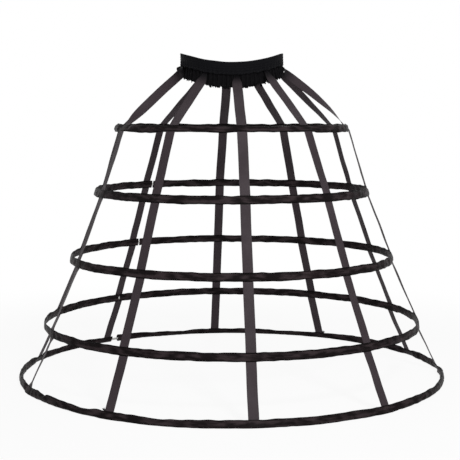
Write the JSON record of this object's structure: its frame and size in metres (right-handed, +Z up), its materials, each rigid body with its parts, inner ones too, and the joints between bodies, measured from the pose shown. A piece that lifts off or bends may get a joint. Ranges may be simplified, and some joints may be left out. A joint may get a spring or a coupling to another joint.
{
  "type": "crinoline cage",
  "caption": "Bell-shaped skirt cage: boned cloth hoops that widen to the hem, held on flat ribbon straps from an oval elastic waistband with a gathered frill.",
  "frame": {"origin": "centre of the hem on the floor plane", "axes": "+Z up through the waist, front towards -Y, the wearer's left towards +X"},
  "size_m": [1.0049, 1.0048, 0.7554],
  "materials": {
    "elastic": "matt ribbed elastic, black",
    "frill": "matt gathered cotton, black",
    "ribbon": "warm dark grey twill ribbon with darker selvedges",
    "casing": "black satin with soft puckers",
    "bone": "spring steel strip with a pale grey coat",
    "joiner": "plain crimped sleeve"
  },
  "bodies": {
    "root": {"waist_elastic": "elastic", "waist_ruffle": "frill", "strap_front_centre": "ribbon", "strap_front_right": "ribbon", "strap_right": "ribbon", "strap_back_right_outer": "ribbon", "strap_back_right": "ribbon", "strap_back_centre": "ribbon", "strap_back_left": "ribbon", "strap_left_back": "ribbon", "strap_left": "ribbon", "strap_front_left": "ribbon", "casing_1": "casing", "casing_2": "casing", "casing_3": "casing", "casing_4": "casing", "casing_5": "casing", "bone_1": "bone", "bone_2": "bone", "bone_3": "bone", "bone_4": "bone", "bone_5": "bone", "joiner_1": "joiner", "joiner_2": "joiner", "joiner_3": "joiner", "joiner_4": "joiner", "joiner_5": "joiner"}
  },
  "joints": []
}
